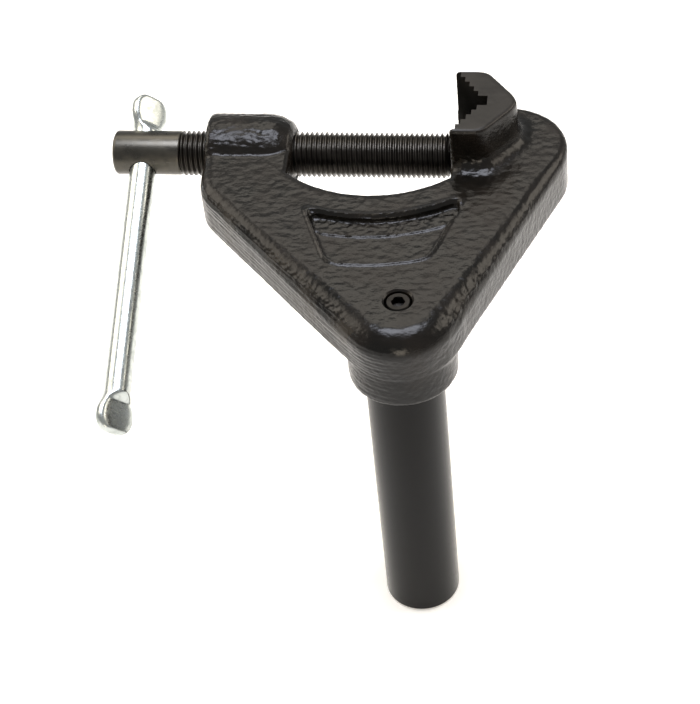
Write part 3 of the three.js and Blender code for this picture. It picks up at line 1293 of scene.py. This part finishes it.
@dataclass
class Softbox:
    """A soft rectangular studio light, with its places and sizes in metres."""

    name: str
    where: Point3
    aim: Point3
    size: tuple[float, float]
    radiance: float
    colour: str = "#ffffff"

    def hang(self) -> None:
        """Puts the light in the scene, as bright as its radiance asks for its size."""
        lamp = bpy.data.lights.new(self.name, "AREA")
        lamp.shape = "RECTANGLE"
        lamp.size, lamp.size_y = self.size
        lamp.energy = self.radiance * math.pi * self.size[0] * self.size[1]
        lamp.color = linear(self.colour)[:3]
        made = bpy.data.objects.new(self.name, lamp)
        made.location = self.where
        aim = Vector(self.aim) - made.location
        made.rotation_euler = aim.to_track_quat("-Z", "Y").to_euler()
        made.visible_camera = False
        bpy.context.scene.collection.objects.link(made)
        LOG.info("%s: %.1f W", self.name, lamp.energy)


@dataclass
class Studio:
    """Floor, light and camera."""

    floor_height: float = -162.15
    floor_reach: float = 4000.0
    azimuth: float = 10.99
    elevation: float = 45.0
    roll: float = -6.48
    distance: float = 862.7
    across: float = -18.63
    above: float = -18.59
    target: Point3 = (-26.4, -97.9, 8.34)
    lens: float = 114.2
    ceiling_light: float = 0.4
    back_light: float = 0.5
    front_light: float = 0.45

    def floor(self) -> None:
        """Lays the table top."""
        reach = self.floor_reach
        corners = [(x * reach, y * reach, self.floor_height)
                   for x, y in ((-1, -1), (1, -1), (1, 1), (-1, 1))]
        made = mesh_object("studio_floor", corners, [[0, 1, 2, 3]])
        made.data.materials.append(TABLE_TOP.material())

    def world(self) -> None:
        """Lights the room: brighter behind the object than in front of it."""
        scene = bpy.context.scene
        world = bpy.data.worlds.new("studio_room")
        scene.world = world
        world.use_nodes = True
        tree = world.node_tree
        tree.nodes.clear()
        way = add_node(tree, "ShaderNodeTexCoord").outputs["Generated"]
        split = add_node(tree, "ShaderNodeSeparateXYZ", links={0: way})
        back = ramp(tree, add_node(tree, "ShaderNodeMapRange", {"From Min": -1.0},
                                   {0: split.outputs["Y"]}).outputs[0],
                    [(0.15, grey(self.front_light)), (0.5, grey(self.ceiling_light)),
                     (0.85, grey(self.back_light))])
        shader = add_node(tree, "ShaderNodeBackground", {"Strength": 1.0}, {"Color": back})
        add_node(tree, "ShaderNodeOutputWorld", links={"Surface": shader.outputs[0]})

    def camera(self) -> None:
        """Sets up the camera."""
        a, e, roll = (math.radians(v) for v in (self.azimuth, self.elevation, self.roll))
        back = Vector((math.sin(a) * math.cos(e), -math.cos(a) * math.cos(e), math.sin(e)))
        level = Vector((math.cos(a), math.sin(a), 0))
        upward = back.cross(level)
        right = math.cos(roll) * level + math.sin(roll) * upward
        up = math.cos(roll) * upward - math.sin(roll) * level
        where = (Vector(self.target) + self.distance * back + self.across * right
                 + self.above * up) * MM
        turn = Matrix((right, up, back)).transposed()
        lens = bpy.data.cameras.new("camera")
        lens.lens, lens.sensor_width, lens.clip_start = self.lens, 36.0, 0.01
        made = bpy.data.objects.new("camera", lens)
        made.matrix_world = Matrix.Translation(where) @ turn.to_4x4()
        bpy.context.scene.collection.objects.link(made)
        bpy.context.scene.camera = made

    def build(self) -> None:
        """Builds the studio."""
        self.floor()
        self.world()
        self.camera()
        for box in (
                Softbox("key_light", (-0.05, 0.05, 1.25), (-0.03, -0.05, 0), (0.9, 0.5), 13.0,
                        "#eef2ff"),
                Softbox("back_light", (-0.24, 0.92, 1.27), (0, -0.05, 0), (0.9, 0.62), 3.2,
                        "#fff6e8"),
                Softbox("front_light", (0.1, -1.5, 0.12), (-0.03, -0.1, 0), (0.35, 0.5), 7.0,
                        "#fff1dc"),
                Softbox("left_light", (-0.6, 0.1, 0.3), (-0.3, 0, -0.16), (0.5, 0.4), 3.5,
                        "#fff4e4"),
                Softbox("right_light", (0.6, 0.15, 0.3), (0.3, 0, -0.16), (0.5, 0.4), 4.0,
                        "#fff4e4")):
            box.hang()
        bpy.context.scene.view_settings.view_transform = "Standard"


def main() -> None:
    """Builds and dresses every sub-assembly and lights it."""
    Studio().build()
    for piece in (YokeCasting(), SupportArm(), ClampScrew(), TommyBar()):
        piece.build()
        LOG.info("%s: %s", type(piece).__name__, ", ".join(made.name for made in piece.built))


if __name__ == "__main__":
    main()
